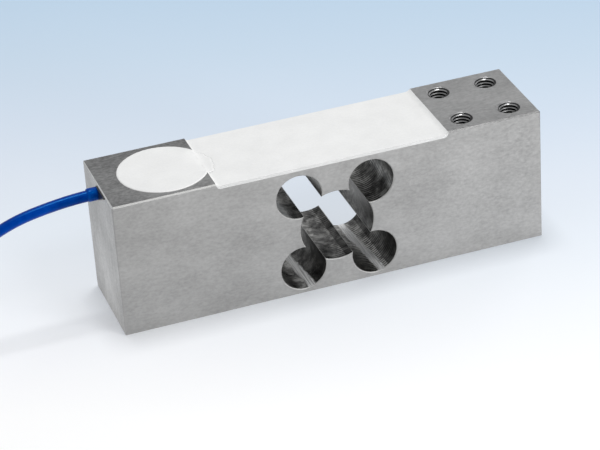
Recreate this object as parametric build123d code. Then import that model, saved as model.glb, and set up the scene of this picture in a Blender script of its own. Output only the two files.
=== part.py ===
from build123d import *

import math
import os

# Weighing load cell, single-point type, all sizes in millimetres.
# +X runs along the billet to its load end, +Y to its back face, +Z up.
# The origin is the centre of the billet's underside.

# Billet
length = 130.0
width = 30.0
height = 42.2
edge_chamfer = 0.4
cable_block = 30.5
load_block = 29.0
recess_depth = 1.7
recess_fillet = 1.4
relief_depth = 0.3

# Through window of four corner bores and one centre bore
upper_wall = 1.65
lower_wall = 1.05
bore_pitch_x = 22.0
corner_bore_r = 6.9
centre_bore_r = 11.2
rim_chamfer = 0.25

# Tapped holes, four in the load end's top and four in the cable end's underside
tap_pitch_x = 15.0
tap_pitch_y = 17.5
tap_inset = 7.5
tap_r = 3.0
tap_mouth_r = 3.4
tap_depth = 14.0
drill_point_deg = 118.0

# Round pocket for the terminal board, and the cable's bore into it
pocket_r = 13.25
pocket_break = 2.15
pocket_depth = 9.0
pocket_fillet = 0.8
cable_drop = 2.9
cable_bore_r = 2.1

# White silicone over the gauges and in the pocket
coating_drop = 0.75
load_rise_run = 1.6
cable_rise = 0.55
cable_rise_run = 1.2
potting_proud = 0.25
potting_round = 0.2

# Foil strain gauges on the recess floor, one over each end of each upper bore
gauge_x = 9.0
gauge_y = 6.0
gauge_film = 0.1
gauge_foil = 0.05
gauge_row_y = 6.0
grid_lines = 6
grid_line_w = 0.3
grid_length = 5.0
grid_pitch = 0.7
tab_x = 1.6
tab_y = 1.4
tab_gap = 0.6

# Gauge lead wires
lead_wire_r = 0.15
lead_pitch = 0.6
lead_cross = 0.9

# Terminal board and what is soldered to it
board_x = 18.0
board_y = 13.0
board_thick = 1.0
board_corner = 2.0
joint_inset = 2.0
cable_joint_pitch = 2.3
cable_joint_r = 0.75
lead_joint_pitch = 1.4
lead_joint_r = 0.45
joint_height = 0.5
chip_x = 3.2
chip_y = 1.6
chip_z = 0.55
chip_cap = 0.5
chip_gap = 3.2

# Cable, its sleeve and its seal
cable_r = 1.5
sleeve_r = 1.75
sleeve_out = 3.4
sleeve_in = 3.0
cable_in_pocket = 1.5
seal_collar = 0.35
seal_round = 0.12
seal_tail_y = -7.3
seal_tail_up = 2.05
seal_tail_r = 0.35
core_r = 0.45
core_offset = 0.56
shield_r = 0.28
core_bend = 0.8

# Where the free cable runs, each corner as its distance out of the end face, its place
# sideways and the share that is left of its fall to the top of the coil
route = [
    (3.4, 0.0, 1.0),
    (14.5, -0.2, 0.971),
    (25.5, -0.7, 0.911),
    (36.0, -1.9, 0.776),
    (45.8, -4.3, 0.575),
    (54.5, -7.2, 0.358),
    (62.5, -10.0, 0.166),
    (70.8, -12.2, 0.045),
    (79.0, -13.0, 0.0),
]
arc_share = 0.45

# Coil of the put-away length, three turns wide and three layers high. The cable comes in
# on its outer top turn, and its end lies on the inner top turn, which is short.
coil_mean_r = 17.5
coil_floor = 0.5
coil_columns = 3
coil_layers = 3
coil_corner = 1.1
jacket_from_deg = 232.0
jacket_to_deg = 145.0

# Tie round the coil
tie_thick = 0.4
tie_clear = 0.05
tie_deg = 9.0
tie_at_deg = 170.0
tie_head = 2.0
tie_head_high = 3.6

# Stripped end of the cable
core_spread = 0.5
core_low = 0.9
strip_length = 26.0
strip_step = 1.5
tip_r = 0.28
tip_length = 5.0
shield_tail_r = 0.4
shield_lift = 0.85

# Places that follow from the sizes above
cable_end_x = -length / 2
load_end_x = length / 2
recess_x0 = cable_end_x + cable_block
recess_x1 = load_end_x - load_block
floor_z = height - recess_depth
window_x = (recess_x0 + recess_x1) / 2
upper_bore_z = floor_z - upper_wall - corner_bore_r
lower_bore_z = relief_depth + lower_wall + corner_bore_r
window_z = (upper_bore_z + lower_bore_z) / 2
pocket_x = recess_x0 + pocket_break - pocket_r
pocket_floor_z = height - pocket_depth
cable_z = height - cable_drop
board_top_z = pocket_floor_z + board_thick
through = width + 2.0
throat_x = pocket_x - pocket_r - 0.1
jacket_end_x = throat_x + cable_in_pocket
coil_outer_turn_r = coil_mean_r + (coil_columns - 1) * cable_r
coil_top_z = coil_floor + (2 * coil_layers - 1) * cable_r
coil_x = cable_end_x - route[-1][0]
coil_y = route[-1][1] + coil_outer_turn_r


def cylinder_between(start, end, radius):
    """A plain round bar from one point to another."""
    axis = Vector(*end) - Vector(*start)
    plane = Plane(origin=start, z_dir=axis)
    return extrude(plane * Circle(radius), amount=axis.length)


def bent_wire(points, radius, bend):
    """A round wire along straight runs, with the same bend at each corner."""
    path = FilletPolyline(*points, radius=bend)
    return sweep(Plane(origin=path @ 0, z_dir=path % 0) * Circle(radius), path=path)


def folded_wire(points, radius):
    """A fine round wire with sharp corners."""
    path = Polyline(*points)
    start = Plane(origin=path @ 0, z_dir=path % 0)
    return sweep(start * Circle(radius), path=path, transition=Transition.RIGHT)


def bore_centres():
    """The four corner bores of the window, as (x, z, radius), and its centre bore."""
    corners = [
        (window_x + side * bore_pitch_x / 2, z, corner_bore_r)
        for side in (-1, 1)
        for z in (lower_bore_z, upper_bore_z)
    ]
    return corners + [(window_x, window_z, centre_bore_r)]


def window_cut():
    """The through window, with a small chamfer round its rim on both faces."""
    cut = Part()
    for x, z, r in bore_centres():
        cut += Pos(x, 0, z) * Rot(90, 0, 0) * Cylinder(r, through)
        for face in (-1, 1):
            rim = Cone(r, r + 2 * rim_chamfer, 2 * rim_chamfer)
            cut += Pos(x, face * width / 2, z) * Rot(-90 * face, 0, 0) * rim
    return cut


def tapped_hole():
    """A blind tapped hole at its thread's full diameter, its mouth at the origin, going down."""
    point = tap_r / math.tan(math.radians(drill_point_deg / 2))
    mouth = tap_mouth_r - tap_r
    hole = Pos(0, 0, -tap_depth / 2) * Cylinder(tap_r, tap_depth)
    hole += Pos(0, 0, -tap_depth - point / 2) * Cone(0.001, tap_r, point)
    hole += Pos(0, 0, 0) * Cone(tap_r - mouth, tap_mouth_r + mouth, 4 * mouth)
    return hole


def tap_places(end_x, inward):
    """The four centres of one hole pattern, counted inward from an end face."""
    return [
        (end_x + inward * (tap_inset + step * tap_pitch_x), side * tap_pitch_y / 2)
        for step in (0, 1)
        for side in (-1, 1)
    ]


def recess_solid(extra):
    """The shallow top recess, as wide as the billet and a little more."""
    span = recess_x1 - recess_x0
    tall = recess_depth + extra
    box = Pos(window_x, 0, floor_z + tall / 2) * Box(span, width + 2 * extra, tall)
    lower = box.edges().filter_by(Axis.Y).sort_by(Axis.Z)[:2]
    return fillet(lower, recess_fillet)


def pocket_solid(top_z):
    """The round pocket, from its floor up to the given height."""
    tall = top_z - pocket_floor_z
    body = Pos(pocket_x, 0, pocket_floor_z + tall / 2) * Cylinder(pocket_r, tall)
    return fillet(body.edges().sort_by(Axis.Z)[0], pocket_fillet)


def cable_bore():
    """The bore from the cable end face to the pocket."""
    return cylinder_between((cable_end_x - 1, 0, cable_z), (pocket_x, 0, cable_z), cable_bore_r)


def make_spring_element():
    body = Pos(0, 0, height / 2) * Box(length, width, height)
    body = chamfer(body.edges(), edge_chamfer)
    body -= recess_solid(1.0)
    relief = load_end_x - recess_x0 + 1
    body -= Pos(recess_x0 + relief / 2, 0, 0) * Box(relief, through, 2 * relief_depth)
    body -= window_cut()
    body -= pocket_solid(height + 1)
    body -= cable_bore()
    for x, y in tap_places(load_end_x, -1):
        body -= Pos(x, y, height) * tapped_hole()
    for x, y in tap_places(cable_end_x, 1):
        body -= Pos(x, y, 0) * Rot(180, 0, 0) * tapped_hole()
    return body


def gauge_places():
    """Name, centre x, centre y and the side that the tabs face for the four gauges."""
    places = []
    for end, sx in (("cable", -1), ("load", 1)):
        for side, sy in (("front", -1), ("back", 1)):
            places.append((f"{end}_{side}", window_x + sx * bore_pitch_x / 2, sy * gauge_row_y, -sx))
    return places


def make_gauge(x, y, tabs):
    """One gauge: a film with a folded foil grid and two solder tabs on it."""
    film_z = floor_z + gauge_film / 2
    foil_z = floor_z + gauge_film + gauge_foil / 2 - 0.01
    thick = gauge_foil + 0.02
    gauge = Pos(x, y, film_z) * Box(gauge_x, gauge_y, gauge_film)
    grid_x = x - tabs * 1.0
    first = y - (grid_lines - 1) * grid_pitch / 2
    for line in range(grid_lines):
        line_y = first + line * grid_pitch
        gauge += Pos(grid_x, line_y, foil_z) * Box(grid_length, grid_line_w, thick)
        if line:
            end = 1 if line % 2 else -1
            turn_x = grid_x - tabs * end * (grid_length - grid_line_w) / 2
            gauge += Pos(turn_x, line_y - grid_pitch / 2, foil_z) * Box(
                grid_line_w, grid_pitch + grid_line_w, thick
            )
    for side in (-1, 1):
        gauge += Pos(tab_centre_x(x, tabs), y + side * tab_offset(), foil_z) * Box(
            tab_x, tab_y, thick
        )
    return gauge


def tab_centre_x(x, tabs):
    return x + tabs * (gauge_x / 2 - tab_x / 2 - 0.3)


def tab_offset():
    return tab_gap / 2 + tab_y / 2


def lead_joint(index):
    """The centre of one lead-wire joint on the board, counted from the front."""
    return (
        pocket_x + board_x / 2 - joint_inset,
        (index - 3.5) * lead_joint_pitch,
    )


def cable_joint(index):
    """The centre of one cable joint on the board, counted from the front."""
    return (
        pocket_x - board_x / 2 + joint_inset,
        (index - 2) * cable_joint_pitch,
    )


def lead_wire_points(x, y, tabs, side, lane):
    """From a gauge tab along the recess floor, over the pocket's rim and down to the board."""
    wire_z = floor_z + gauge_film + gauge_foil + lead_wire_r
    start_x = tab_centre_x(x, tabs)
    start_y = y + side * tab_offset()
    lane_y = (lane - 3.5) * lead_pitch
    cross_x = window_x + lead_cross - lead_pitch * abs(lane - 3.5)
    joint_x, joint_y = lead_joint(lane)
    return [
        (start_x, start_y, wire_z),
        (cross_x, start_y, wire_z),
        (cross_x, lane_y, wire_z),
        (pocket_x + pocket_r, lane_y, wire_z),
        (joint_x + 1.2, joint_y, wire_z - 1.6),
        (joint_x, joint_y, board_top_z + joint_height + 1.6),
        (joint_x, joint_y, board_top_z + joint_height),
    ]


def make_gauge_leads():
    """Two wires from each gauge, in lanes whose order keeps the wires from crossing."""
    lanes = {
        "cable_front": (1, 0),
        "load_front": (2, 3),
        "load_back": (4, 5),
        "cable_back": (7, 6),
    }
    made = {}
    for name, x, y, tabs in gauge_places():
        wires = []
        for side, lane in zip((-1, 1), lanes[name]):
            points = lead_wire_points(x, y, tabs, side, lane)
            wires.append(folded_wire(points, lead_wire_r))
        made[name] = Compound(children=wires)
    return made


def make_board():
    plate = Pos(pocket_x, 0, board_top_z - board_thick / 2) * Box(board_x, board_y, board_thick)
    return chamfer(plate.edges().filter_by(Axis.Z), board_corner)


def make_joints():
    """Low solder mounds: five for the cable, eight for the gauge leads."""
    mounds = []
    for index in range(5):
        x, y = cable_joint(index)
        mounds.append(Pos(x, y, board_top_z + joint_height / 2) * Cone(cable_joint_r, 0.4, joint_height))
    for index in range(8):
        x, y = lead_joint(index)
        mounds.append(Pos(x, y, board_top_z + joint_height / 2) * Cone(lead_joint_r, 0.3, joint_height))
    return Compound(children=mounds)


def make_chip(index):
    """A flat trimming resistor on the board, with a cap at each end."""
    y = (index - 1) * chip_gap
    body = Box(chip_x - 2 * chip_cap, chip_y - 0.1, chip_z - 0.05)
    chip = Pos(pocket_x, y, board_top_z + (chip_z - 0.05) / 2) * body
    for side in (-1, 1):
        x = pocket_x + side * (chip_x - chip_cap) / 2
        chip += Pos(x, y, board_top_z + chip_z / 2) * Box(chip_cap, chip_y, chip_z)
    return chip


def core_places():
    """Colour, place across the cable and joint on the board for the four cores."""
    return [
        ("black", -core_offset, core_offset, 0),
        ("green", -core_offset, -core_offset, 1),
        ("red", core_offset, -core_offset, 3),
        ("white", core_offset, core_offset, 4),
    ]


def core_wire(dy, dz, joint, radius):
    """From the jacket's end inside the pocket down to a joint on the board."""
    joint_x, joint_y = cable_joint(joint)
    run = joint_x - jacket_end_x
    top = board_top_z + joint_height
    points = [
        (jacket_end_x, dy, cable_z + dz),
        (jacket_end_x + 0.3 * run, dy, cable_z + dz),
        (joint_x, joint_y, top + 2.2),
        (joint_x, joint_y, top),
    ]
    return bent_wire(points, radius, core_bend)


def cable_path():
    """The free cable's centre line: straight runs joined by arcs as large as they allow."""
    fall = cable_z - coil_top_z
    corners = [Vector(cable_end_x - out, side, coil_top_z + left * fall) for out, side, left in route]
    corners.insert(0, Vector(jacket_end_x, 0, cable_z))
    radii = []
    for a, b, c in zip(corners, corners[1:], corners[2:]):
        shorter = min((b - a).length, (c - b).length)
        turn = math.radians((b - a).get_angle(c - b))
        radii.append(arc_share * shorter / math.tan(turn / 2))
    print("cable bend radii", [round(r, 1) for r in radii])
    return FilletPolyline(*corners, radius=radii)


def tube_on(path, radius):
    return sweep(Plane(origin=path @ 0, z_dir=path % 0) * Circle(radius), path=path)


def make_cable(path):
    tube = tube_on(path, cable_r)
    share = tube.volume / (math.pi * cable_r**2 * path.length)
    print("cable tube length", round(path.length, 1), "volume share", round(share, 4))
    return tube


def sleeve_rod(path):
    """The short thicker sleeve where the cable leaves the end face, before it is hollowed."""
    to_face = jacket_end_x - cable_end_x
    start = (to_face - sleeve_in) / path.length
    end = (to_face + sleeve_out) / path.length
    return tube_on(path.trim(start, end), sleeve_r)


def seal_face():
    """The outline of the sealing compound on the end face, drawn out to one side."""
    plane = Plane(origin=(cable_end_x, 0, cable_z), x_dir=(0, -1, 0), z_dir=(-1, 0, 0))
    blobs = Circle(cable_bore_r) + Pos(-seal_tail_y, seal_tail_up) * Circle(seal_tail_r)
    return plane * make_hull(blobs.edges())


def make_seal(rods):
    """Black compound that fills the bore round the cable and stands a little proud."""
    plug = cylinder_between((cable_end_x, 0, cable_z), (throat_x, 0, cable_z), cable_bore_r)
    collar = extrude(seal_face(), amount=seal_collar)
    rim = collar.faces().sort_by(Axis.X)[0].edges()
    plug += fillet(rim, seal_round)
    for rod in rods:
        plug -= rod
    return plug


def make_potting(buried):
    """The silicone in the pocket: a disc standing a little proud, and a neck in the bore."""
    potting = pocket_solid(height + potting_proud)
    top_rim = potting.edges().filter_by(GeomType.CIRCLE).sort_by(Axis.Z)[-1]
    potting = fillet(top_rim, potting_round)
    potting += cylinder_between((throat_x, 0, cable_z), (pocket_x, 0, cable_z), cable_bore_r)
    for piece in buried:
        potting -= piece
    return potting


def coating_profile():
    """The strip of silicone seen from the front: a sunk surface that climbs both end walls."""
    surface_z = height - coating_drop
    wall_z = floor_z + recess_fillet
    left_in = recess_x0 + recess_fillet
    right_in = recess_x1 - recess_fillet
    corner = recess_fillet * (1 - math.sqrt(0.5))
    left_rise = (recess_x0 + cable_rise_run, surface_z)
    right_rise = (recess_x1 - load_rise_run, surface_z)
    left_top = (recess_x0, surface_z + cable_rise)
    right_top = (recess_x1, height)
    lines = [
        Line(left_top, (recess_x0, wall_z)),
        ThreePointArc(
            (recess_x0, wall_z), (recess_x0 + corner, floor_z + corner), (left_in, floor_z)
        ),
        Line((left_in, floor_z), (right_in, floor_z)),
        ThreePointArc(
            (right_in, floor_z), (recess_x1 - corner, floor_z + corner), (recess_x1, wall_z)
        ),
        Line((recess_x1, wall_z), right_top),
        TangentArc(right_rise, right_top, tangent=(1, 0)),
        Line(right_rise, left_rise),
        TangentArc(left_rise, left_top, tangent=(-1, 0)),
    ]
    return make_face(Curve() + lines)


def make_coating(buried):
    """The silicone strip over the gauges, as wide as the billet, up to the pocket's edge."""
    coating = extrude(Plane.XZ * coating_profile(), amount=width / 2, both=True)
    coating -= pocket_solid(height + 2)
    for piece in buried:
        coating -= piece
    return coating


def coil_plane(angle):
    """The upright plane through the coil's axis at an angle, its x outward."""
    outward = (math.cos(math.radians(angle)), math.sin(math.radians(angle)), 0)
    side = (-outward[1], outward[0], 0)
    return Plane(origin=(coil_x, coil_y, 0), x_dir=outward, z_dir=(-side[0], -side[1], 0))


def coil_turn_r(column):
    return coil_mean_r + (column - (coil_columns - 1) / 2) * 2 * cable_r


def coil_axis():
    return Axis((coil_x, coil_y, 0), (0, 0, 1))


def coil_section(low_z, inner_r, outer_r, high_z):
    """A rectangle beside the coil's axis, as wide as the bundle or as one of its turns."""
    middle = Pos((inner_r + outer_r) / 2, (low_z + high_z) / 2)
    return middle * Rectangle(outer_r - inner_r, high_z - low_z)


def coil_limits():
    """The bundle's inner and outer radius, and the heights of its bottom, step and top."""
    inner = coil_turn_r(0) - cable_r
    outer = coil_turn_r(coil_columns - 1) + cable_r
    step = coil_floor + 2 * cable_r * (coil_layers - 1)
    return inner, outer, coil_floor, step, step + 2 * cable_r


def make_coil():
    """The wound cable's outer shape, with the jacket's end lying on its inner top turn."""
    inner, outer, low, step, high = coil_limits()
    shoulder = inner + 2 * cable_r
    section = coil_section(low, inner, outer, high)
    section = chamfer(section.vertices(), coil_corner)
    section -= coil_section(step, inner - 1, shoulder, high + 1)
    ring = revolve(coil_plane(0) * section, axis=coil_axis(), revolution_arc=360)
    end = coil_section(step - 0.1, inner, shoulder + 0.1, high)
    end = chamfer(end.vertices().sort_by(Axis.X)[:2].sort_by(Axis.Y)[-1], coil_corner)
    arc = jacket_from_deg - jacket_to_deg
    return ring + revolve(coil_plane(jacket_to_deg) * end, axis=coil_axis(), revolution_arc=arc)


def make_tie():
    """A thin tie round the bundle, with its head on the inside of the ring."""
    inner, outer, low, _, high = coil_limits()
    out = tie_clear + tie_thick
    band = coil_section(low - out, inner - out, outer + out, high + out)
    band -= coil_section(low - tie_clear, inner - tie_clear, outer + tie_clear, high + tie_clear)
    wall = inner - out
    mid_z = (low + high) / 2
    band += coil_section(mid_z - tie_head_high / 2, wall - tie_head, wall + 0.1, mid_z + tie_head_high / 2)
    start = coil_plane(tie_at_deg - tie_deg / 2)
    return revolve(start * band, axis=coil_axis(), revolution_arc=tie_deg)


def ring_wire(r, z, radius, start_deg, long):
    """A wire lying on the coil along an arc, from an angle on, clockwise from above."""
    arc = math.degrees(long / r)
    section = coil_plane(start_deg - arc) * (Pos(r, z) * Circle(radius))
    return revolve(section, axis=coil_axis(), revolution_arc=arc)


def stripped_places():
    """Name, distance from the coil's axis, height, radius and length of each bared core."""
    r = coil_turn_r(0)
    z = coil_floor + 2 * cable_r * (coil_layers - 1) + cable_r
    return [
        ("black", r - core_spread, z - core_low, core_r, strip_length),
        ("green", r + core_spread, z - core_low, core_r, strip_length - strip_step),
        ("red", r - core_spread, z + 0.02, core_r, strip_length - 2 * strip_step),
        ("white", r + core_spread, z + 0.02, core_r, strip_length - 3 * strip_step),
        ("shield", r, z + shield_lift, shield_tail_r, strip_length - 4 * strip_step),
    ]


def export(shape, name):
    export_step(shape, f"parts/{name}.step")


os.makedirs("parts", exist_ok=True)

gauges = {name: make_gauge(x, y, tabs) for name, x, y, tabs in gauge_places()}
gauge_leads = make_gauge_leads()
board = make_board()
joints = make_joints()
chips = {name: make_chip(i) for i, name in enumerate(("zero", "span", "temperature"))}
cores = {colour: core_wire(dy, dz, joint, core_r) for colour, dy, dz, joint in core_places()}
shield = core_wire(0, 0, 2, shield_r)
cord_path = cable_path()
cable = make_cable(cord_path)
rod = sleeve_rod(cord_path)
sleeve = rod - cable
seal = make_seal([rod, cable])

# The silicone is cast round everything that lies in it
wires = [wire for pair in gauge_leads.values() for wire in pair.solids()]
in_pocket = [board, *joints.solids(), *chips.values(), *cores.values(), shield, cable]
potting = make_potting(in_pocket + wires)
coating = make_coating([*gauges.values(), *wires])

stripped = {}
tips = []
for name, r, z, radius, long in stripped_places():
    stripped[name] = ring_wire(r, z, radius, jacket_to_deg, long - tip_length)
    tip_start = jacket_to_deg - math.degrees((long - tip_length) / r)
    tips.append(ring_wire(r, z, tip_r, tip_start, tip_length))

export(make_spring_element(), "spring_element")
export(coating, "gauge_coating")
export(potting, "pocket_potting")
for name, gauge in gauges.items():
    export(gauge, f"strain_gauge_{name}")
for name, wires in gauge_leads.items():
    export(wires, f"gauge_leads_{name}")
export(board, "terminal_board")
export(joints, "solder_joints")
for name, chip in chips.items():
    export(chip, f"{name}_resistor")
for colour, core in cores.items():
    export(core, f"core_{colour}")
export(shield, "core_shield")
export(seal, "cable_seal")
export(sleeve, "cable_sleeve")
export(cable, "cable")
export(make_coil() - cable, "cable_coil")
export(make_tie(), "coil_tie")
for name, wire in stripped.items():
    export(wire, f"bared_{name}")
export(Compound(children=tips), "tinned_tips")
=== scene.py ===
import math

import bmesh
import bpy
from mathutils import Matrix, Vector, noise


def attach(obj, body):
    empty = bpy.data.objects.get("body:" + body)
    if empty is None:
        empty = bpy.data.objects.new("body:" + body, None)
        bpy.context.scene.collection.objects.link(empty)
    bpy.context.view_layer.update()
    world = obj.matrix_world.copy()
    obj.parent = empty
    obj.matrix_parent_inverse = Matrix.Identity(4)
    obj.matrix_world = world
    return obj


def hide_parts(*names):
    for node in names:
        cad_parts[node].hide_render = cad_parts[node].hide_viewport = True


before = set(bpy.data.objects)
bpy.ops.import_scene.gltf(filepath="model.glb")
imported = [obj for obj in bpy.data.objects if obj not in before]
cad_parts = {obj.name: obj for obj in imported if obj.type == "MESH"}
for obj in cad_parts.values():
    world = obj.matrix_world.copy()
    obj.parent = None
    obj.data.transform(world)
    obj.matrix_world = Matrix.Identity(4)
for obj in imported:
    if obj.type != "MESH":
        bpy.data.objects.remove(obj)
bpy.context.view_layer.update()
MM = 0.001

# Sizes in millimetres, the same values as in the model
END_X = -65.0
HALF_WIDTH = 15.0
HEIGHT = 42.2
EDGE_CHAMFER = 0.4
RECESS = (-34.5, 36.0)
RECESS_FLOOR = 40.5
RECESS_FILLET = 1.4
STRIP_Z = 41.45
POCKET = (-45.6, 0.0)
POCKET_R = 13.25
POCKET_FLOOR = 33.2
POCKET_FILLET = 0.8
DISC_Z = 42.42
CORNER_BORES = [(-10.25, 8.25), (11.75, 8.25), (11.75, 31.95), (-10.25, 31.95)]
CORNER_BORE_R = 6.9
CENTRE_BORE = (0.75, 20.1)
CENTRE_BORE_R = 11.2
TAP_R = 3.0
TOP_TAPS = [(x, y) for x in (42.5, 57.5) for y in (-8.75, 8.75)]
UNDER_TAPS = [(-x, y) for x, y in TOP_TAPS]
CABLE_Z = 39.3
CABLE_R = 1.5
COIL = (-144.0, 7.5)
COIL_TURNS_R = (14.5, 17.5, 20.5)
COIL_LAYERS_Z = (2.0, 5.0, 8.0)

# The cable's way from inside the pocket down to the top of its coil
ROUTE = [
    (-57.45, 0.0, 39.3),
    (-68.4, 0.0, 39.3),
    (-79.5, -0.2, 38.39),
    (-90.5, -0.7, 36.51),
    (-101.0, -1.9, 32.29),
    (-110.8, -4.3, 26.0),
    (-119.5, -7.2, 19.21),
    (-127.5, -10.0, 13.2),
    (-135.8, -12.2, 9.41),
    (-144.0, -13.0, 8.0),
]

# Sizes in millimetres that only the photo gives
SHOWN_CHAMFER = 0.15
CUSP_R = 0.09
MOUTH_R = 3.55
MOUTH_DEPTH = 0.40
THREAD_START = 0.10
THREAD_TURNS = 12.5
# In how many turns a thread swells to its full height at its start, and thins out at its end
THREAD_FADES = (0.4, 0.6)
# Across one ridge, from the mouth's side: height above the wall, and place along the hole
RIDGE = ((0.0, -0.42), (0.29, -0.26), (0.55, -0.02), (0.55, 0.06), (0.0, 0.36))
# The sleeve's outline: distance inwards from the end face, and radius
SLEEVE_LINE = [
    (3.0, 1.55),
    (3.0, 1.75),
    (-0.2, 1.75),
    (-0.5, 1.96),
    (-2.8, 1.98),
    (-3.1, 1.92),
    (-3.32, 1.76),
    (-3.4, 1.53),
]
# How much fuller the jacket is at the first points of its way
FULLER = [1.08, 1.12, 1.07, 1.07, 1.04, 1.0]


def mm(x, y, z):
    return Vector((x, y, z)) * MM


def off_axis(x, y, axis):
    """The distance of a place from an axis, both given across that axis."""
    return math.hypot(x - axis[0], y - axis[1])


# Camera

LENS = 148.67
CAMERA_PLACE = (-196.36, -597.8, 384.62)
CAMERA_RIGHT = Vector((0.93999, -0.33609, -0.05889))
CAMERA_DOWN = Vector((-0.21935, -0.46302, -0.85878))
CAMERA_FORWARD = Vector((0.26136, 0.82016, -0.50895))


def make_camera():
    data = bpy.data.cameras.new("camera")
    data.lens = LENS
    data.sensor_width = 36.0
    data.sensor_fit = "HORIZONTAL"
    data.clip_start = 0.05
    data.clip_end = 20.0
    camera = bpy.data.objects.new("camera", data)
    turn = Matrix((CAMERA_RIGHT, -CAMERA_DOWN, -CAMERA_FORWARD)).transposed().to_4x4()
    turn.translation = mm(*CAMERA_PLACE)
    camera.matrix_world = turn
    bpy.context.scene.collection.objects.link(camera)
    bpy.context.scene.camera = camera


make_camera()
bpy.context.scene.view_settings.view_transform = "Standard"


# Materials; their lengths are in metres, as Object coordinates are

CUTTER_PITCH = 0.00095
WAVE_SCALE_OF_PITCH = 0.314
# Where the painted reflections lie: the bright streaks along the lower bores
STREAK_LOAD_X = 0.0127
STREAK_CABLE_X = -0.0090
STREAK_SKEW = 0.07
STREAK_RAGGEDNESS = 0.0022
STREAK_TOP_Z = 0.004


class Shader:
    """One node material, with short calls for the nodes that the surfaces share."""

    def __init__(self, name):
        self.material = bpy.data.materials.new(name)
        self.material.use_nodes = True
        self.tree = self.material.node_tree
        self.tree.nodes.clear()
        self.output = self.add("OutputMaterial")
        self.bsdf = self.add("BsdfPrincipled")
        self.link(self.bsdf.outputs["BSDF"], self.output.inputs["Surface"])
        self.coords = self.add("TexCoord").outputs["Object"]

    def add(self, kind):
        return self.tree.nodes.new("ShaderNode" + kind)

    def link(self, a, b):
        self.tree.links.new(a, b)

    def set(self, name, value):
        self.bsdf.inputs[name].default_value = value

    def noise(self, scale, stretch=(1, 1, 1), detail=3.0, rough=0.5, warp=0.0):
        mapping = self.add("Mapping")
        mapping.inputs["Scale"].default_value = [scale * s for s in stretch]
        self.link(self.coords, mapping.inputs["Vector"])
        node = self.add("TexNoise")
        node.inputs["Scale"].default_value = 1.0
        node.inputs["Detail"].default_value = detail
        node.inputs["Roughness"].default_value = rough
        node.inputs["Distortion"].default_value = warp
        self.link(mapping.outputs["Vector"], node.inputs["Vector"])
        return node.outputs["Fac"]

    def rings(self, pitch, wander):
        """Even cutter rings across the Y axis, one at each pitch."""
        node = self.add("TexWave")
        node.bands_direction = "Y"
        node.inputs["Scale"].default_value = WAVE_SCALE_OF_PITCH / pitch
        node.inputs["Distortion"].default_value = wander
        node.inputs["Detail"].default_value = 2.0
        node.inputs["Detail Scale"].default_value = 0.6
        self.link(self.coords, node.inputs["Vector"])
        return node.outputs["Fac"]

    def place(self):
        """The X, Y and Z of the point on the object."""
        split = self.add("SeparateXYZ")
        self.link(self.coords, split.inputs[0])
        return split.outputs

    def blend(self, share, a, b):
        node = self.add("Mix")
        node.data_type = "RGBA"
        self.link(share, node.inputs["Factor"])
        self.link(a, node.inputs["A"])
        self.link(b, node.inputs["B"])
        return node.outputs["Result"]

    def math(self, kind, a, b=0.0):
        node = self.add("Math")
        node.operation = kind
        for socket, value in zip(node.inputs, (a, b)):
            if isinstance(value, (int, float)):
                socket.default_value = value
            else:
                self.link(value, socket)
        return node.outputs[0]

    def mix(self, parts):
        """A weighted sum of values, as (value, weight) pairs."""
        total = None
        for value, weight in parts:
            scaled = self.math("MULTIPLY", value, weight)
            total = scaled if total is None else self.math("ADD", total, scaled)
        return total

    def ramp(self, value, stops):
        node = self.add("ValToRGB")
        band = node.color_ramp
        while len(band.elements) < len(stops):
            band.elements.new(0.5)
        for element, (place, colour) in zip(band.elements, stops):
            element.position = place
            element.color = (*colour, 1.0)
        self.link(value, node.inputs["Fac"])
        return node.outputs["Color"]

    def grey(self, value, low, high, start=0.3, end=0.7):
        return self.ramp(value, [(start, (low,) * 3), (end, (high,) * 3)])

    def bump(self, value, strength, distance, after=None):
        node = self.add("Bump")
        node.inputs["Strength"].default_value = strength
        node.inputs["Distance"].default_value = distance
        self.link(value, node.inputs["Height"])
        if after is not None:
            self.link(after, node.inputs["Normal"])
        return node.outputs["Normal"]

    def colour(self, socket):
        self.link(socket, self.bsdf.inputs["Base Color"])

    def normal(self, socket):
        self.link(socket, self.bsdf.inputs["Normal"])

    def roughness(self, socket):
        self.link(socket, self.bsdf.inputs["Roughness"])


def ground_steel(name, low, high, grind, rough=(0.36, 0.46)):
    """Ground steel: cloudy tone, a fine mottle, and short grinding marks along one way."""
    s = Shader(name)
    s.set("Metallic", 1.0)
    clouds = s.noise(60, stretch=(0.7, 1, 1), detail=3, rough=0.55)
    mottle = s.noise(1500, stretch=(0.55, 0.9, 1), detail=4, rough=0.7)
    marks = s.noise(1, stretch=grind, detail=3, rough=0.6)
    value = s.mix([(clouds, 0.40), (mottle, 0.44), (marks, 0.16)])
    dark, light = ((v, v * 0.995, v * 0.99) for v in (low, high))
    s.colour(s.ramp(value, [(0.38, dark), (0.62, light)]))
    s.roughness(s.grey(mottle, *rough))
    fine = s.bump(marks, 0.09, 0.00008)
    s.normal(s.bump(mottle, 0.07, 0.0001, after=fine))
    return s.material


def painted_reflection_streaks(s, stains):
    """A painted reflection: a bright streak with a ragged edge along each lower bore, as a mask.
    """
    x, y, z = s.place()
    skewed = s.math("ADD", x, s.math("MULTIPLY", y, STREAK_SKEW))
    from_load = s.math("ABSOLUTE", s.math("SUBTRACT", skewed, STREAK_LOAD_X))
    from_cable = s.math("ABSOLUTE", s.math("SUBTRACT", skewed, STREAK_CABLE_X))
    ragged = s.math("MULTIPLY", stains, STREAK_RAGGEDNESS)
    away = s.math("ADD", s.math("MINIMUM", from_load, from_cable), ragged)
    along = s.grey(s.math("MULTIPLY", away, 100), 1.0, 0.0, 0.19, 0.24)
    return s.math("MULTIPLY", along, s.math("LESS_THAN", z, STREAK_TOP_Z))


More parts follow.
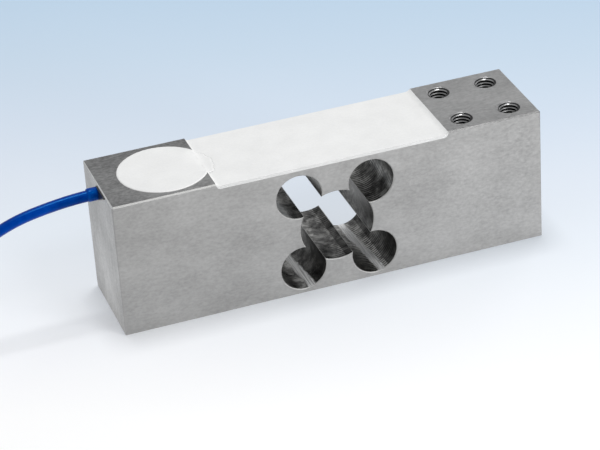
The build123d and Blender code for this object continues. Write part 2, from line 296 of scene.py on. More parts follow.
def bored_steel(name, shade, ring_depth=0.31):
    """The window's walls: dark and stained, with cutter rings; shade scales their tone for painted
    light and shade, and the lower bores' bright streaks are painted reflections.
    """
    s = Shader(name)
    stains = s.noise(260, detail=5, rough=0.7, warp=0.35)
    patches = s.noise(170, detail=2)
    towards_load = s.grey(s.math("MULTIPLY", s.place()["X"], 100), 0.25, 1.0, 0.1, 0.5)
    ringed = s.math("MULTIPLY", s.grey(patches, 0.15, 1.0, 0.42, 0.56), towards_load)
    wave = s.math("SUBTRACT", s.rings(CUTTER_PITCH, 0.8), 0.5)
    rings = s.math("MULTIPLY", wave, ringed)
    value = s.mix([(stains, 1.0), (rings, ring_depth)])
    # shade scales the tone: lit and shaded copies of one steel, a painted light and shade
    tones = [(0.36, 0.03 * shade), (0.5, 0.13 * shade), (0.66, 0.42 * shade)]
    base = s.ramp(value, [(at, (tone, tone * 0.985, tone * 0.95)) for at, tone in tones])
    # Painted reflection: the bright streaks along the lower bores, with a streaky grain of their
    # own
    streaks = painted_reflection_streaks(s, stains)
    reflection_grain = s.noise(1, stretch=(2600, 60, 60), detail=3, rough=0.6)
    s.colour(s.blend(streaks, base, s.grey(reflection_grain, 0.5, 1.0, 0.34, 0.52)))
    # Where the reflection is painted, the steel is mostly not metal, so that it shows bright
    metal = s.math("SUBTRACT", 1.0, s.math("MULTIPLY", streaks, 0.95))
    s.link(metal, s.bsdf.inputs["Metallic"])
    s.roughness(s.grey(stains, 0.24, 0.42))
    s.normal(s.bump(s.mix([(rings, 1.0), (stains, 0.3)]), 0.3, 0.0001))
    return s.material


def tapped_steel(name, low, high):
    s = Shader(name)
    s.set("Metallic", 1.0)
    value = s.noise(900, detail=3)
    s.colour(s.grey(value, low, high))
    s.roughness(s.grey(value, 0.28, 0.36))
    s.normal(s.bump(value, 0.08, 0.00005))
    return s.material


def silicone(name, low, high):
    s = Shader(name)
    s.set("Metallic", 0.0)
    s.set("Specular IOR Level", 0.3)
    soft = s.noise(140, detail=3, rough=0.5)
    grain = s.noise(1600, detail=2)
    value = s.mix([(soft, 0.6), (grain, 0.4)])
    s.colour(s.ramp(value, [(0.35, (low, low, low * 0.99)), (0.65, (high, high, high * 0.99))]))
    s.roughness(s.grey(soft, 0.55, 0.68))
    s.normal(s.bump(value, 0.10, 0.0001))
    return s.material


def plastic(name, low, high, rough, scale=900, bump=0.06, shine=0.5, sheen=(1, 1, 1)):
    s = Shader(name)
    s.set("Metallic", 0.0)
    s.set("Specular IOR Level", shine)
    s.set("Specular Tint", (*sheen, 1.0))
    value = s.mix([(s.noise(scale, detail=3), 0.5), (s.noise(scale / 6, detail=3), 0.5)])
    s.colour(s.ramp(value, [(0.35, low), (0.65, high)]))
    s.roughness(s.grey(value, rough - 0.05, rough + 0.05))
    s.normal(s.bump(value, bump, 0.00008))
    return s.material


def bright_metal(name, low, high, rough, scale=700):
    s = Shader(name)
    s.set("Metallic", 1.0)
    value = s.noise(scale, detail=3)
    s.colour(s.ramp(value, [(0.35, low), (0.65, high)]))
    s.roughness(s.grey(value, rough, rough + 0.12))
    s.normal(s.bump(value, 0.12, 0.0001))
    return s.material


# Copies of one ground steel for the block's faces: each has that face's grinding way, and a tone
# set lighter or darker for how light falls on it, a painted light and shade
SIDE = ground_steel("steel_long_side", 0.32, 0.445, (300, 900, 900))
TOP_CABLE = ground_steel("steel_top", 0.18, 0.42, (300, 1100, 900))
TOP_LOAD = ground_steel("steel_top_load", 0.30, 0.48, (300, 900, 900))
END = ground_steel("steel_end", 0.28, 0.58, (900, 900, 150))
# Copies of the bore steel, brighter for walls facing the light and darker for walls in shade:
# painted light and shade
BORE = bored_steel("bored_steel", 1.3)
BORE_SHADED = bored_steel("bored_steel_painted_shade", 0.9)
BORE_DEEP_SHADE = bored_steel("bored_steel_painted_deep_shade", 0.5, 0.16)
# The thread roots and the tapped holes' walls are near-black, a painted shade; the crests keep the
# steel's tone
CREST = tapped_steel("thread_crests", 0.38, 0.50)
ROOT_SHADE = tapped_steel("thread_roots_painted_shade", 0.025, 0.05)
# Brighter steels for the chamfers and edges: painted highlight lines
EDGE_HIGHLIGHT = bright_metal("edge_painted_highlight", (0.42, 0.42, 0.41), (0.52, 0.52, 0.51), 0.38)
RIM_HIGHLIGHT = bright_metal("window_rim_painted_highlight", (0.48, 0.48, 0.47), (0.58, 0.58, 0.57), 0.5)
END_EDGE_HIGHLIGHT = bright_metal("end_edge_painted_highlight", (0.80, 0.80, 0.79), (0.92, 0.92, 0.91), 0.3)
BILLET_STEELS = [
    SIDE,
    TOP_CABLE,
    END,
    BORE,
    CREST,
    BORE_SHADED,
    BORE_DEEP_SHADE,
    EDGE_HIGHLIGHT,
    TOP_LOAD,
    ROOT_SHADE,
    RIM_HIGHLIGHT,
    END_EDGE_HIGHLIGHT,
]
SILICONE = silicone("silicone", 0.775, 0.83)
# A darker copy of the silicone for the strip's sides, a painted shade
SILICONE_SHADED_SIDE = silicone("silicone_side_painted_shade", 0.58, 0.64)
BLUE_SHEEN = (0.0, 0.42, 1.0)
JACKET = plastic(
    "blue_jacket", (0.0, 0.020, 0.22), (0.0, 0.040, 0.31), 0.30, scale=500, sheen=BLUE_SHEEN
)
SLEEVE = plastic(
    "blue_sleeve",
    (0.0, 0.028, 0.23),
    (0.0, 0.07, 0.38),
    0.28,
    scale=700,
    bump=0.2,
    shine=0.4,
    sheen=BLUE_SHEEN,
)
SEAL = plastic("sealing_compound", (0.008,) * 3, (0.03,) * 3, 0.3, scale=700, bump=0.4)
TIE = plastic("tie", (0.015, 0.015, 0.016), (0.03, 0.03, 0.032), 0.42)
CORES = {
    "black": plastic("core_black", (0.008, 0.008, 0.008), (0.02, 0.02, 0.02), 0.35),
    "green": plastic("core_green", (0.008, 0.16, 0.035), (0.015, 0.23, 0.05), 0.35),
    "red": plastic("core_red", (0.38, 0.008, 0.008), (0.5, 0.015, 0.012), 0.35),
    "white": plastic("core_white", (0.70, 0.70, 0.68), (0.80, 0.80, 0.78), 0.35),
}
TINNED = bright_metal("tinned_strands", (0.45, 0.45, 0.44), (0.68, 0.68, 0.67), 0.25, 1800)
SOLDER = bright_metal("solder", (0.55, 0.55, 0.55), (0.74, 0.74, 0.74), 0.2)
FILM = plastic("gauge_film", (0.45, 0.22, 0.03), (0.58, 0.31, 0.06), 0.3)
ENAMEL = plastic("lead_enamel", (0.28, 0.07, 0.02), (0.40, 0.12, 0.04), 0.3)
BOARD = plastic("board", (0.01, 0.10, 0.03), (0.02, 0.16, 0.05), 0.4)
CHIP = plastic("chip", (0.02, 0.02, 0.025), (0.05, 0.05, 0.055), 0.45)


# Building pieces


def add_piece(name, mesh, materials):
    piece = bpy.data.objects.new(name, mesh)
    bpy.context.scene.collection.objects.link(piece)
    for material in materials:
        mesh.materials.append(material)
    mesh.shade_smooth()
    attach(piece, "root")
    return piece


def finish_mesh(bm, name):
    bmesh.ops.recalc_face_normals(bm, faces=bm.faces)
    mesh = bpy.data.meshes.new(name)
    bm.to_mesh(mesh)
    bm.free()
    return mesh


def sharp_by_angle(mesh, degrees):
    """Marks the edges that turn by more than the angle, so that the rest shades smoothly."""
    bm = bmesh.new()
    bm.from_mesh(mesh)
    limit = math.radians(degrees)
    for edge in bm.edges:
        if len(edge.link_faces) == 2:
            edge.smooth = edge.calc_face_angle(0.0) < limit
    bm.to_mesh(mesh)
    bm.free()


def dress(node, material):
    """A new material on a CAD node whose shape stays."""
    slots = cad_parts[node].data.materials
    slots.clear()
    slots.append(material)


def spin_line(bm, points, centre, axis, steps):
    """Turns a line of points once round an axis."""
    verts = [bm.verts.new(point) for point in points]
    edges = [bm.edges.new(pair) for pair in zip(verts, verts[1:])]
    bmesh.ops.spin(
        bm,
        geom=verts + edges,
        cent=centre,
        axis=axis,
        angle=math.tau,
        steps=steps,
        use_merge=True,
    )
    bmesh.ops.remove_doubles(bm, verts=bm.verts, dist=0.001 * MM)


def join_rings(bm, rings):
    """Quads from each ring of vertices to the next, for sections that change on their way."""
    for a, b in zip(rings, rings[1:]):
        for i in range(len(a)):
            j = (i + 1) % len(a)
            bm.faces.new((a[i], a[j], b[j], b[i]))


def smooth_step(a, b, value):
    t = min(max((value - a) / (b - a), 0.0), 1.0)
    return t * t * (3 - 2 * t)


def rounding(radius, into):
    """How far a quarter round has dropped, at a distance from where it starts."""
    return radius - math.sqrt(max(radius**2 - into**2, 0.0))


# The billet

WINDOW_HALF = (17.9, 18.75)
# How steeply a face has to turn to one axis to count as lying square to it
SQUARE = 0.6
# What counts as the same place, as the CAD mesh isn't exact to the last digit
SLACK = 0.03


def in_window_box(middle, room):
    """Whether a place lies in the box round the window's bores, with some room more."""
    across = abs(middle.x - CENTRE_BORE[0]) < WINDOW_HALF[0] + room
    return across and abs(middle.z - CENTRE_BORE[1]) < WINDOW_HALF[1] + room


def window_rim(middle, normal):
    """Whether a face is the small chamfer round the window's mouth."""
    near = in_window_box(middle, 0.55) and abs(middle.y) > HALF_WIDTH - 0.4
    return near and 0.2 < abs(normal.y) < 0.95


def window_wall(middle, normal):
    """Whether a face lies inside the through window."""
    near = in_window_box(middle, 0.15) and abs(middle.y) < HALF_WIDTH - 0.1
    return near and abs(normal.y) < 0.2


def in_tapped_hole(middle, normal):
    near = any(off_axis(middle.x, middle.y, tap) < 3.5 for tap in TOP_TAPS + UNDER_TAPS)
    return near and abs(normal.z) < 0.95


def wall_steel(middle, normal):
    """Painted light and shade: the walls that face the light get the brighter copy of the bore
    steel, and the centre and lower bores the darkest copy, for their shade.
    """
    in_load_bore = off_axis(middle.x, middle.z, CORNER_BORES[1]) < CORNER_BORE_R + 0.3
    if normal.x > (-0.62 if in_load_bore else -0.2):
        return BORE
    in_centre = abs(off_axis(middle.x, middle.z, CENTRE_BORE) - CENTRE_BORE_R) < 0.35
    in_lower = middle.z < CORNER_BORES[0][1] + CORNER_BORE_R + 0.05
    return BORE_DEEP_SHADE if in_centre or in_lower else BORE_SHADED


def steel_of(face):
    """Which steel a face of the billet gets: its own finish, or a lighter or darker copy that
    paints light and shade.
    """
    middle = face.calc_center_median() / MM
    normal = face.normal
    cable_end = middle.x < RECESS[0]
    # The tapped holes' walls get the near-black steel, a painted shade, save the mouth's faces
    # that look up
    if in_tapped_hole(middle, normal):
        by_mouth = not 1.5 < middle.z < HEIGHT - 1.5
        return CREST if by_mouth and abs(normal.z) > 0.3 else ROOT_SHADE
    # The window's rim chamfer gets a brighter steel, a painted highlight
    if window_rim(middle, normal):
        return RIM_HIGHLIGHT
    if window_wall(middle, normal):
        return wall_steel(middle, normal)
    top_chamfer = sorted(abs(v) for v in normal)[1] > 0.5 and normal.z > 0.5
    # The top chamfers: at the cable end brighter steels, painted highlights; at the load end the
    # darker top steel, a painted shade
    if top_chamfer and normal.x < -0.5:
        return END_EDGE_HIGHLIGHT
    if top_chamfer:
        return EDGE_HIGHLIGHT if cable_end else TOP_CABLE
    if abs(normal.y) > SQUARE:
        return SIDE
    if abs(normal.z) > SQUARE:
        return TOP_CABLE if cable_end else TOP_LOAD
    return END


def sharpen_edges(bm):
    """The outer chamfers, brought down to the photo's thin lines; the near top one stays."""
    box = ((END_X, -END_X), (-HALF_WIDTH, HALF_WIDTH), (0.0, HEIGHT))
    for vert in bm.verts:
        place = vert.co / MM
        by_near_top = place.y < -HALF_WIDTH + 0.5 and place.z > HEIGHT - 0.5
        if by_near_top:
            continue
        for axis, sides in enumerate(box):
            for side, inward in zip(sides, (1, -1)):
                if abs(abs(place[axis] - side) - EDGE_CHAMFER) < SLACK:
                    vert.co[axis] = (side + inward * SHOWN_CHAMFER) * MM


def open_mouths(bm, taps, top, way):
    """The tapped holes' mouths, opened out to the wide countersinks of the photo."""
    for vert in bm.verts:
        place = vert.co / MM
        depth = (top - place.z) * way
        for x, y in taps:
            out = Vector((place.x - x, place.y - y))
            on_rim = depth < 0.01 and TAP_R + 0.05 < out.length < TAP_R + 0.4
            on_root = 0.15 < depth < MOUTH_DEPTH - 0.01 and abs(out.length - TAP_R) < SLACK
            if on_rim:
                out *= MOUTH_R / out.length
                vert.co.xy = mm(x + out.x, y + out.y, 0).xy
            elif on_root:
                vert.co.z = (top - way * MOUTH_DEPTH) * MM


def make_billet():
    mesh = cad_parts["spring_element"].data.copy()
    mesh.materials.clear()
    bm = bmesh.new()
    bm.from_mesh(mesh)
    bmesh.ops.remove_doubles(bm, verts=bm.verts, dist=0.002 * MM)
    for face in bm.faces:
        face.material_index = BILLET_STEELS.index(steel_of(face))
    sharpen_edges(bm)
    open_mouths(bm, TOP_TAPS, HEIGHT, 1)
    open_mouths(bm, UNDER_TAPS, 0.0, -1)
    bm.to_mesh(mesh)
    bm.free()
    sharp_by_angle(mesh, 28)
    piece = add_piece("billet", mesh, BILLET_STEELS)
    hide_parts("spring_element")


def window_cusps():
    """Where the corner bores' walls meet the centre bore's, as (x, z) pairs."""
    centre = Vector(CENTRE_BORE)
    cusps = []
    for corner in CORNER_BORES:
        span = Vector(corner) - centre
        reach = span.length
        along = (reach**2 + CENTRE_BORE_R**2 - CORNER_BORE_R**2) / (2 * reach)
        across = math.sqrt(CENTRE_BORE_R**2 - along**2)
        way = span / reach
        for side in (-1, 1):
            cusps.append(centre + way * along + Vector((-way.y, way.x)) * across * side)
    return cusps


def make_edges():
    """The broken edges along the window's cusps, each a fine bright line in a brighter steel, a
    painted highlight.
    """
    bm = bmesh.new()
    lying = Matrix.Rotation(math.radians(90), 4, "X")
    for x, z in window_cusps():
        bmesh.ops.create_cone(
            bm,
            cap_ends=True,
            segments=8,
            radius1=CUSP_R * MM,
            radius2=CUSP_R * MM,
            depth=2 * (HALF_WIDTH - 0.3) * MM,
            matrix=Matrix.Translation(mm(x, 0, z)) @ lying,
        )
    mesh = finish_mesh(bm, "window_edges")
    sharp_by_angle(mesh, 60)
    add_piece("window_edges", mesh, [EDGE_HIGHLIGHT])


def make_threads(name, taps, top, way):
    """The ridges of the tapped threads, one helix in each hole, thinning out at its ends.

    Each ridge has a shelf on the mouth's side, a light flank, a light crest and a flank below;
    the shelf, the flank below and the root between are painted dark, a painted shade. It starts
    on the hole's near side, which the camera can't see.
    """
    bm = bmesh.new()
    steps = 40
    near_side = -0.25
    wall_r = TAP_R + 0.01
    fade_in, fade_out = THREAD_FADES
    for x, y in taps:
        rings = []
        for i in range(int(THREAD_TURNS * steps) + 1):
            turn = i / steps
            angle = math.tau * (turn + near_side)
            full = max(0.02, min(1.0, turn / fade_in, (THREAD_TURNS - turn) / fade_out))
            ring = []
            for reach, rise in RIDGE:
                depth = max(0.04, THREAD_START + turn + rise)
                flare = max(0.0, 1 - depth / MOUTH_DEPTH) * (MOUTH_R - TAP_R)
                r = wall_r + flare if reach == 0 else wall_r - reach * full
                z = top - way * depth
                ring.append(bm.verts.new(mm(x + r * math.cos(angle), y + r * math.sin(angle), z)))
            rings.append(ring)
        first = len(bm.faces)
        join_rings(bm, rings)
        bm.faces.ensure_lookup_table()
        for i, face in enumerate(bm.faces[first:]):
            # The shelf, the flank below and the root get the near-black steel, a painted shade
            face.material_index = 0 if i % len(RIDGE) in (1, 2) else 1
        bm.faces.new(rings[0])
        bm.faces.new(rings[-1])
    mesh = finish_mesh(bm, name)
    sharp_by_angle(mesh, 30)
    add_piece(name, mesh, [CREST, ROOT_SHADE])


# White silicone

# Where the strip's rows lie at its ends, as distances from the end walls
ROWS_AT_CABLE_WALL = (0.0, 0.1, 0.2, 0.35, 0.5, 0.7, 0.9, 1.1, 1.4)
ROWS_AT_LOAD_WALL = (1.5, 1.2, 1.0, 0.8, 0.6, 0.45, 0.3, 0.2, 0.1, 0.0)
ROWS_AT_SIDE = (0.0, 0.03, 0.1, 0.2, 0.32, 0.45, 0.9, 1.5)
LIP_END_X = -30.0
LIP_REACH = 1.25
LIP_HALF_WIDTH = (4.6, 6.6)
LIP_SINK_HALF_WIDTH = (6.2, 7.6)
LIP_THICKNESS = 0.14
SEAM_DEPTH = 0.17
SEAM_WIDTH = 0.16
SEAM_OUTSIDE = 0.13
# How far from each end wall the strip begins to climb, and how high it climbs there
CABLE_CLIMB = (1.2, 0.55)
LOAD_CLIMB = (1.6, 0.73)
STRIP_SIDE = HALF_WIDTH - 0.01
STRIP_EDGE_R = 0.3
DISC_EDGE = (0.45, 0.24)
DISC_RINGS = (0.12, 0.25, 0.38, 0.5, 0.62, 0.74, 0.84, 0.91, 0.95, 0.97, 0.985, 0.995, 1.0)
DISC_GAP = 0.02
DISC_TOP = DISC_Z - 0.01


def strip_floor(x):
    """The height of the recess floor with its end fillets."""
    inside = min(x - RECESS[0], RECESS[1] - x)
    return RECESS_FLOOR + rounding(RECESS_FILLET, max(RECESS_FILLET - inside, 0.0))


def lip_reach(y):
    """How far the pocket's silicone runs out over the strip, with a wandering edge."""
    spread = 1 - smooth_step(*LIP_HALF_WIDTH, abs(y + 0.3))
    slow = 0.55 * noise.noise(Vector((y * 0.45, 7.0, 1.0)))
    quick = 0.18 * noise.noise(Vector((y * 1.6, 3.0, 9.0)))
    return spread * (LIP_REACH + slow + quick)


def disc_reach(angle):
    """The radius of the pocket's silicone at an angle, with its lip towards the strip."""
    over = smooth_step(-36.5, -33.6, POCKET[0] + POCKET_R * math.cos(angle))
    return POCKET_R - DISC_GAP + over * lip_reach(POCKET_R * math.sin(angle))


def seam(x, y):
    """The depth of the fine groove in the strip along the lip's edge."""
    angle = math.atan2(y, x - POCKET[0])
    outside = off_axis(x, y, POCKET) - disc_reach(angle)
    return SEAM_DEPTH * math.exp(-(((outside - SEAM_OUTSIDE) / SEAM_WIDTH) ** 2))


def strip_top(x, y):
    """The height of the silicone strip: sunk in the middle, climbing both end walls."""
    z = STRIP_Z
    for from_wall, (span, climb) in ((x - RECESS[0], CABLE_CLIMB), (RECESS[1] - x, LOAD_CLIMB)):
        z += climb * (max(span - from_wall, 0.0) / span) ** 2
    wave = noise.noise(Vector((x * 0.16, y * 0.16, 2.0))) * 0.035
    wave += noise.noise(Vector((x * 0.7, y * 0.7, 5.0))) * 0.008
    edge = HALF_WIDTH - abs(y)
    z -= rounding(STRIP_EDGE_R, max(STRIP_EDGE_R - edge, 0.0))
    return z + wave * smooth_step(0.0, 1.5, edge)


def evenly(first, last, count):
    """The places that part a span into a number of even steps, without its first."""
    return [first + (last - first) * i / count for i in range(1, count + 1)]


def make_strip():
    """A fine grid laid over the recess, its walls drawn down to the floor, and its underside."""
    xs = [RECESS[0] + t for t in ROWS_AT_CABLE_WALL]
    xs += evenly(xs[-1], LIP_END_X, 34)
    xs += evenly(LIP_END_X, RECESS[1] - 1.8, 110)
    xs += [RECESS[1] - t for t in ROWS_AT_LOAD_WALL]
    near = [t - HALF_WIDTH for t in ROWS_AT_SIDE]
    ys = near + evenly(near[-1], -near[-1], 84)[:-1] + [-y for y in reversed(near)]
    bm = bmesh.new()
    bmesh.ops.create_grid(bm, x_segments=len(xs) - 1, y_segments=len(ys) - 1, size=0.5)
    sides = [
        [edge for edge in bm.edges if all(abs(v.co.y - end) < 0.0001 for v in edge.verts)]
        for end in (-0.5, 0.5)
    ]
    for vert in bm.verts:
        x = xs[round((vert.co.x + 0.5) * (len(xs) - 1))]
        y = ys[round((vert.co.y + 0.5) * (len(ys) - 1))]
        z = max(strip_top(x, y) - seam(x, y), strip_floor(x) + 0.004)
        vert.co = mm(x, min(max(y, -STRIP_SIDE), STRIP_SIDE), z)
    feet = []
    for edges in sides:
        drawn = bmesh.ops.extrude_edge_only(bm, edges=edges)["geom"]
        for vert in drawn:
            if isinstance(vert, bmesh.types.BMVert):
                vert.co.z = strip_floor(vert.co.x / MM) * MM
        feet += [e for e in drawn if isinstance(e, bmesh.types.BMEdge) and e.is_boundary]
    feet = [e for e in feet if abs(e.verts[0].co.x - e.verts[1].co.x) > 0.001 * MM]
    bmesh.ops.bridge_loops(bm, edges=feet)
    bmesh.ops.holes_fill(bm, edges=bm.edges, sides=0)
    mesh = finish_mesh(bm, "silicone_strip")
    sharp_by_angle(mesh, 60)
    # The strip's sides get the darker silicone, a painted shade
    for face in mesh.polygons:
        face.material_index = 1 if abs(face.normal.y) > 0.4 else 0
    piece = add_piece("silicone_strip", mesh, [SILICONE, SILICONE_SHADED_SIDE])
    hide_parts("gauge_coating")


def disc_place(share, angle):
    """A point of the disc's face, by its share of the radius and its angle."""
    reach = disc_reach(angle)
    x = POCKET[0] + reach * share * math.cos(angle)
    y = reach * share * math.sin(angle)
    inside = reach * (1 - share)
    width, drop = DISC_EDGE
    roll = drop * rounding(1.0, max(width - inside, 0.0) / width)
    sink = smooth_step(-37.5, -34.3, x) * (1 - smooth_step(*LIP_SINK_HALF_WIDTH, abs(y)))
    lip_top = strip_top(max(x, RECESS[0]), y) + LIP_THICKNESS
    top = DISC_TOP * (1 - sink) + lip_top * sink
    wave = noise.noise(Vector((x * 0.2, y * 0.2, 4.0))) * 0.02 * smooth_step(0.0, 2.0, inside)
    return mm(x, y, top - roll * (1 - 0.3 * sink) + wave)


def make_disc():
    """The pocket's silicone: a disc with a rolled rim, and a thin lip over the strip."""
    fillet_z = POCKET_FLOOR + POCKET_FILLET
    line = [(POCKET_R * share, DISC_Z) for share in (0.0, *DISC_RINGS)]
    for z in (40.9, fillet_z, POCKET_FLOOR + 0.2, POCKET_FLOOR + 0.02):
        line.append((POCKET_R - DISC_GAP - rounding(POCKET_FILLET, max(fillet_z - z, 0.0)), z))
    bm = bmesh.new()
    points = [mm(POCKET[0] + r, POCKET[1], z) for r, z in line]
    spin_line(bm, points, mm(*POCKET, 0), (0, 0, 1), 144)
    bmesh.ops.holes_fill(bm, edges=bm.edges, sides=0)
    for vert in bm.verts:
        place = vert.co / MM
        share = off_axis(place.x, place.y, POCKET) / POCKET_R
        on_side = place.z < DISC_TOP
        if on_side:
            continue
        if share < 0.01:
            vert.co.z = DISC_TOP * MM
        else:
            vert.co = disc_place(share, math.atan2(place.y, place.x - POCKET[0]))
    mesh = finish_mesh(bm, "silicone_disc")
    sharp_by_angle(mesh, 60)
    piece = add_piece("silicone_disc", mesh, [SILICONE])
    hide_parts("pocket_potting")


# Cable

COIL_STEP = 360 / 20
COIL_END = 2520 + 125
CHANGE_SPAN = 50
# Which turn of the coil lies where, and from which degree of its travel it moves there
NEAR_R, MID_R, FAR_R = COIL_TURNS_R
LOW_Z, MIDDLE_Z, TOP_Z = COIL_LAYERS_Z
COIL_SLOTS = [
    (0, (FAR_R, TOP_Z)),
    (268, (FAR_R, MIDDLE_Z)),
    (360 + 268, (FAR_R, LOW_Z)),
    (720 + 214, (MID_R, LOW_Z)),
    (1080 + 214, (NEAR_R, LOW_Z)),
    (1440 + 160, (NEAR_R, MIDDLE_Z)),
    (1800 + 106, (MID_R, MIDDLE_Z)),
    (2160 + 52, (MID_R, TOP_Z)),
    (2520, (NEAR_R, TOP_Z)),
]


def coil_points():
    """Control points of the wound turns, clockwise from where the cable comes in."""
    swell = 1 / math.cos(math.radians(COIL_STEP / 2))
    points = []
    travel = COIL_STEP
    while travel <= COIL_END + 0.1:
        r, z = COIL_SLOTS[0][1]
        for start, (next_r, next_z) in COIL_SLOTS[1:]:
            share = smooth_step(start, start + CHANGE_SPAN, travel)
            r += (next_r - r) * share
            z += (next_z - z) * share
        angle = math.radians(-90 - travel)
        x = COIL[0] + swell * r * math.cos(angle)
        y = COIL[1] + swell * r * math.sin(angle)
        points.append((x, y, z))
        travel += COIL_STEP
    return points


def make_cable():
    """The jacket along its whole route, a little fuller where it comes out of the sleeve."""
    points = ROUTE + coil_points()
    radii = FULLER + [1.0] * (len(points) - len(FULLER))
    curve = bpy.data.curves.new("cable_jacket", "CURVE")
    curve.dimensions = "3D"
    curve.resolution_u = 6
    curve.bevel_depth = CABLE_R * MM
    curve.bevel_resolution = 5
    curve.use_fill_caps = True
    spline = curve.splines.new("NURBS")
    spline.points.add(len(points) - 1)
    for knot, place, radius in zip(spline.points, points, radii):
        knot.co = (*mm(*place), 1.0)
        knot.radius = radius
    spline.order_u = 3
    spline.use_endpoint_u = True
    curve.materials.append(JACKET)
    piece = bpy.data.objects.new("cable_jacket", curve)
    bpy.context.scene.collection.objects.link(piece)
    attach(piece, "root")
    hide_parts("cable", "cable_coil")
    return piece


def make_sleeve():
    """The short thicker sleeve at the cable's exit, its outer end rounded in."""
    bm = bmesh.new()
    points = [mm(END_X + x, r, CABLE_Z) for x, r in SLEEVE_LINE]
    spin_line(bm, points, mm(END_X, 0, CABLE_Z), (1, 0, 0), 40)
    mesh = finish_mesh(bm, "sleeve")
    sharp_by_angle(mesh, 50)
    piece = add_piece("sleeve", mesh, [SLEEVE])
    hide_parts("cable_sleeve")
    return piece


# The tie's band across its width: distance from its middle, and distance from the jacket
TIE_SECTION = [(-1.15, 0.04), (-1.15, 0.34), (-1.0, 0.43), (1.0, 0.43), (1.15, 0.34), (1.15, 0.04)]
TIE_HEAD = (3.4, 3.2, 1.8)
TIE_HEAD_INSIDE = 1.3
TIE_AT = math.radians(170)


def tie_loop(grow):
    """The tie's outline round the bundle, as (distance from the coil's axis, height) pairs."""
    corners = ((FAR_R, TOP_Z, 0), (NEAR_R, TOP_Z, 90), (NEAR_R, LOW_Z, 180), (FAR_R, LOW_Z, 270))
    corner_r = CABLE_R + grow
    points = []
    for r, z, start in corners:
        for i in range(7):
            angle = math.radians(start + 15 * i)
            points.append((r + corner_r * math.cos(angle), z + corner_r * math.sin(angle)))
    return points


def make_tie():
    """A moulded tie round the coil: a thin band with softened edges, and its head."""
    bm = bmesh.new()
    out = Vector((math.cos(TIE_AT), math.sin(TIE_AT), 0))
    side = Vector((-out.y, out.x, 0))
    up = Vector((0, 0, 1))
    centre = Vector((*COIL, 0))
    loops = [tie_loop(grow) for _, grow in TIE_SECTION]
    rings = []
    for i in range(len(loops[0])):
        ring = []
        for (across, _), loop in zip(TIE_SECTION, loops):
            r, z = loop[i]
            ring.append(bm.verts.new((centre + out * r + side * across + up * z) * MM))
        rings.append(ring)
    join_rings(bm, rings + [rings[0]])
    wide, tall, deep = TIE_HEAD
    head = bmesh.ops.create_cube(bm, size=1.0)["verts"]
    place = centre + out * (NEAR_R - CABLE_R - TIE_HEAD_INSIDE) + up * MIDDLE_Z
    for vert in head:
        x, y, z = vert.co
        vert.co = (place + side * x * wide + up * y * tall + out * z * deep) * MM
    edges = list({edge for vert in head for edge in vert.link_edges})
    bmesh.ops.bevel(
        bm, geom=edges, offset=0.35 * MM, segments=3, profile=0.5, affect="EDGES", material=-1
    )
    mesh = finish_mesh(bm, "coil_tie_band")
    sharp_by_angle(mesh, 40)
    piece = add_piece("coil_tie_band", mesh, [TIE])
    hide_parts("coil_tie")
    return piece


cable = make_cable()
sleeve = make_sleeve()
tie = make_tie()

make_billet()
make_edges()
make_threads("threads_top", TOP_TAPS, HEIGHT, 1)
make_threads("threads_under", UNDER_TAPS, 0.0, -1)
make_strip()
make_disc()

dress("cable_seal", SEAL)
for colour, plastic_core in CORES.items():
    dress(f"core_{colour}", plastic_core)
    dress(f"bared_{colour}", plastic_core)
for node in ("core_shield", "bared_shield"):
    dress(node, TINNED)
for node in ("solder_joints", "tinned_tips"):
    dress(node, SOLDER)
for place in ("cable_front", "cable_back", "load_front", "load_back"):
    dress(f"strain_gauge_{place}", FILM)
    dress(f"gauge_leads_{place}", ENAMEL)
dress("terminal_board", BOARD)
for node in ("zero_resistor", "span_resistor", "temperature_resistor"):
    dress(node, CHIP)


# Floor, backdrop and lights, in metres

# The way on the floor along which its tone changes, and the span in which it does
SWEEP_X, SWEEP_Y = 0.42813, 0.90372
SWEEP_START = -0.082
SWEEP_LENGTH = 0.264
FLOOR_STOPS = [
    (0.0, (1.0, 1.0, 1.0)),
    (0.10, (0.95, 0.96, 0.98)),
    (0.235, (0.88, 0.91, 0.95)),
    (0.36, (0.80, 0.85, 0.91)),
    (0.50, (0.73, 0.79, 0.87)),
    (0.65, (0.65, 0.735, 0.84)),
    (0.82, (0.575, 0.69, 0.81)),
    (1.0, (0.515, 0.65, 0.79)),
]
# How much of the floor's light is its own glow, for the eye and for metal
EYE_GLOW = 0.28
METAL_GLOW = 0.72
METAL_PALE = (0.91, 0.915, 0.915)
# Name, place, aim, size and power of each lamp
LAMPS = [
    ("overhead", (0.0, 0.15, 1.2), (0, 0, 0), (0.3, 0.3), 5.6),
    ("front", (0.36, -0.66, 0.98), (0, 0, 0.02), (0.3, 0.3), 1.7),
    ("low_right", (0.335, -0.40, 0.06), (0.04, 0, 0.02), (0.12, 0.08), 1.5),
    ("back_right", (0.75, 0.7, 0.6), (0.04, 0, 0.04), (0.4, 0.4), 1.3),
]


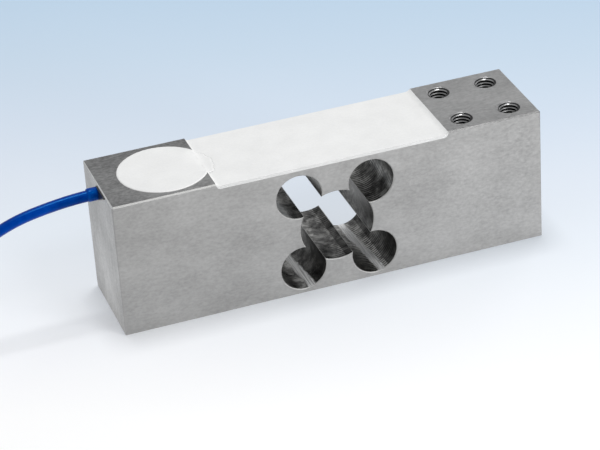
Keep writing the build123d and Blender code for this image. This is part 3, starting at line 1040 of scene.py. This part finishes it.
def make_floor():
    """A pale sweep, whiter towards the front; part of what the eye and metal see of it glows."""
    s = Shader("floor")
    s.set("Metallic", 0.0)
    s.set("Roughness", 0.9)
    s.set("Specular IOR Level", 0.0)
    x, y, _ = s.place()
    along = s.mix([(x, SWEEP_X), (y, SWEEP_Y)])
    share = s.math("MULTIPLY", s.math("SUBTRACT", along, SWEEP_START), 1 / SWEEP_LENGTH)
    tone = s.ramp(share, FLOOR_STOPS)
    s.colour(tone)
    path = s.add("LightPath").outputs
    mirrored = s.math("MAXIMUM", path["Is Glossy Ray"], path["Is Transmission Ray"])
    glow = s.add("Emission")
    glow.inputs["Strength"].default_value = 1.0
    pale = s.ramp(mirrored, [(0.0, (1.0, 1.0, 1.0)), (1.0, METAL_PALE)])
    s.link(s.blend(mirrored, tone, pale), glow.inputs["Color"])
    glowing = s.mix([(path["Is Camera Ray"], EYE_GLOW), (mirrored, METAL_GLOW)])
    blend = s.add("MixShader")
    s.link(glowing, blend.inputs["Fac"])
    s.link(s.bsdf.outputs["BSDF"], blend.inputs[1])
    s.link(glow.outputs["Emission"], blend.inputs[2])
    s.link(blend.outputs["Shader"], s.output.inputs["Surface"])
    bm = bmesh.new()
    bmesh.ops.create_grid(bm, x_segments=1, y_segments=1, size=3.0)
    mesh = bpy.data.meshes.new("floor")
    bm.to_mesh(mesh)
    bm.free()
    mesh.materials.append(s.material)
    floor = bpy.data.objects.new("floor", mesh)
    bpy.context.scene.collection.objects.link(floor)


def make_lamp(name, place, aim, size, power):
    data = bpy.data.lights.new(name, "AREA")
    data.shape = "RECTANGLE"
    data.size, data.size_y = size
    data.energy = power
    lamp = bpy.data.objects.new(name, data)
    lamp.location = place
    way = Vector(aim) - Vector(place)
    lamp.rotation_euler = way.to_track_quat("-Z", "Y").to_euler()
    bpy.context.scene.collection.objects.link(lamp)


def make_world():
    world = bpy.data.worlds.new("studio")
    world.use_nodes = True
    bpy.context.scene.world = world
    back = world.node_tree.nodes["Background"]
    back.inputs["Color"].default_value = (0.97, 0.985, 1.0, 1.0)
    back.inputs["Strength"].default_value = 0.5


make_floor()
make_world()
for lamp in LAMPS:
    make_lamp(*lamp)
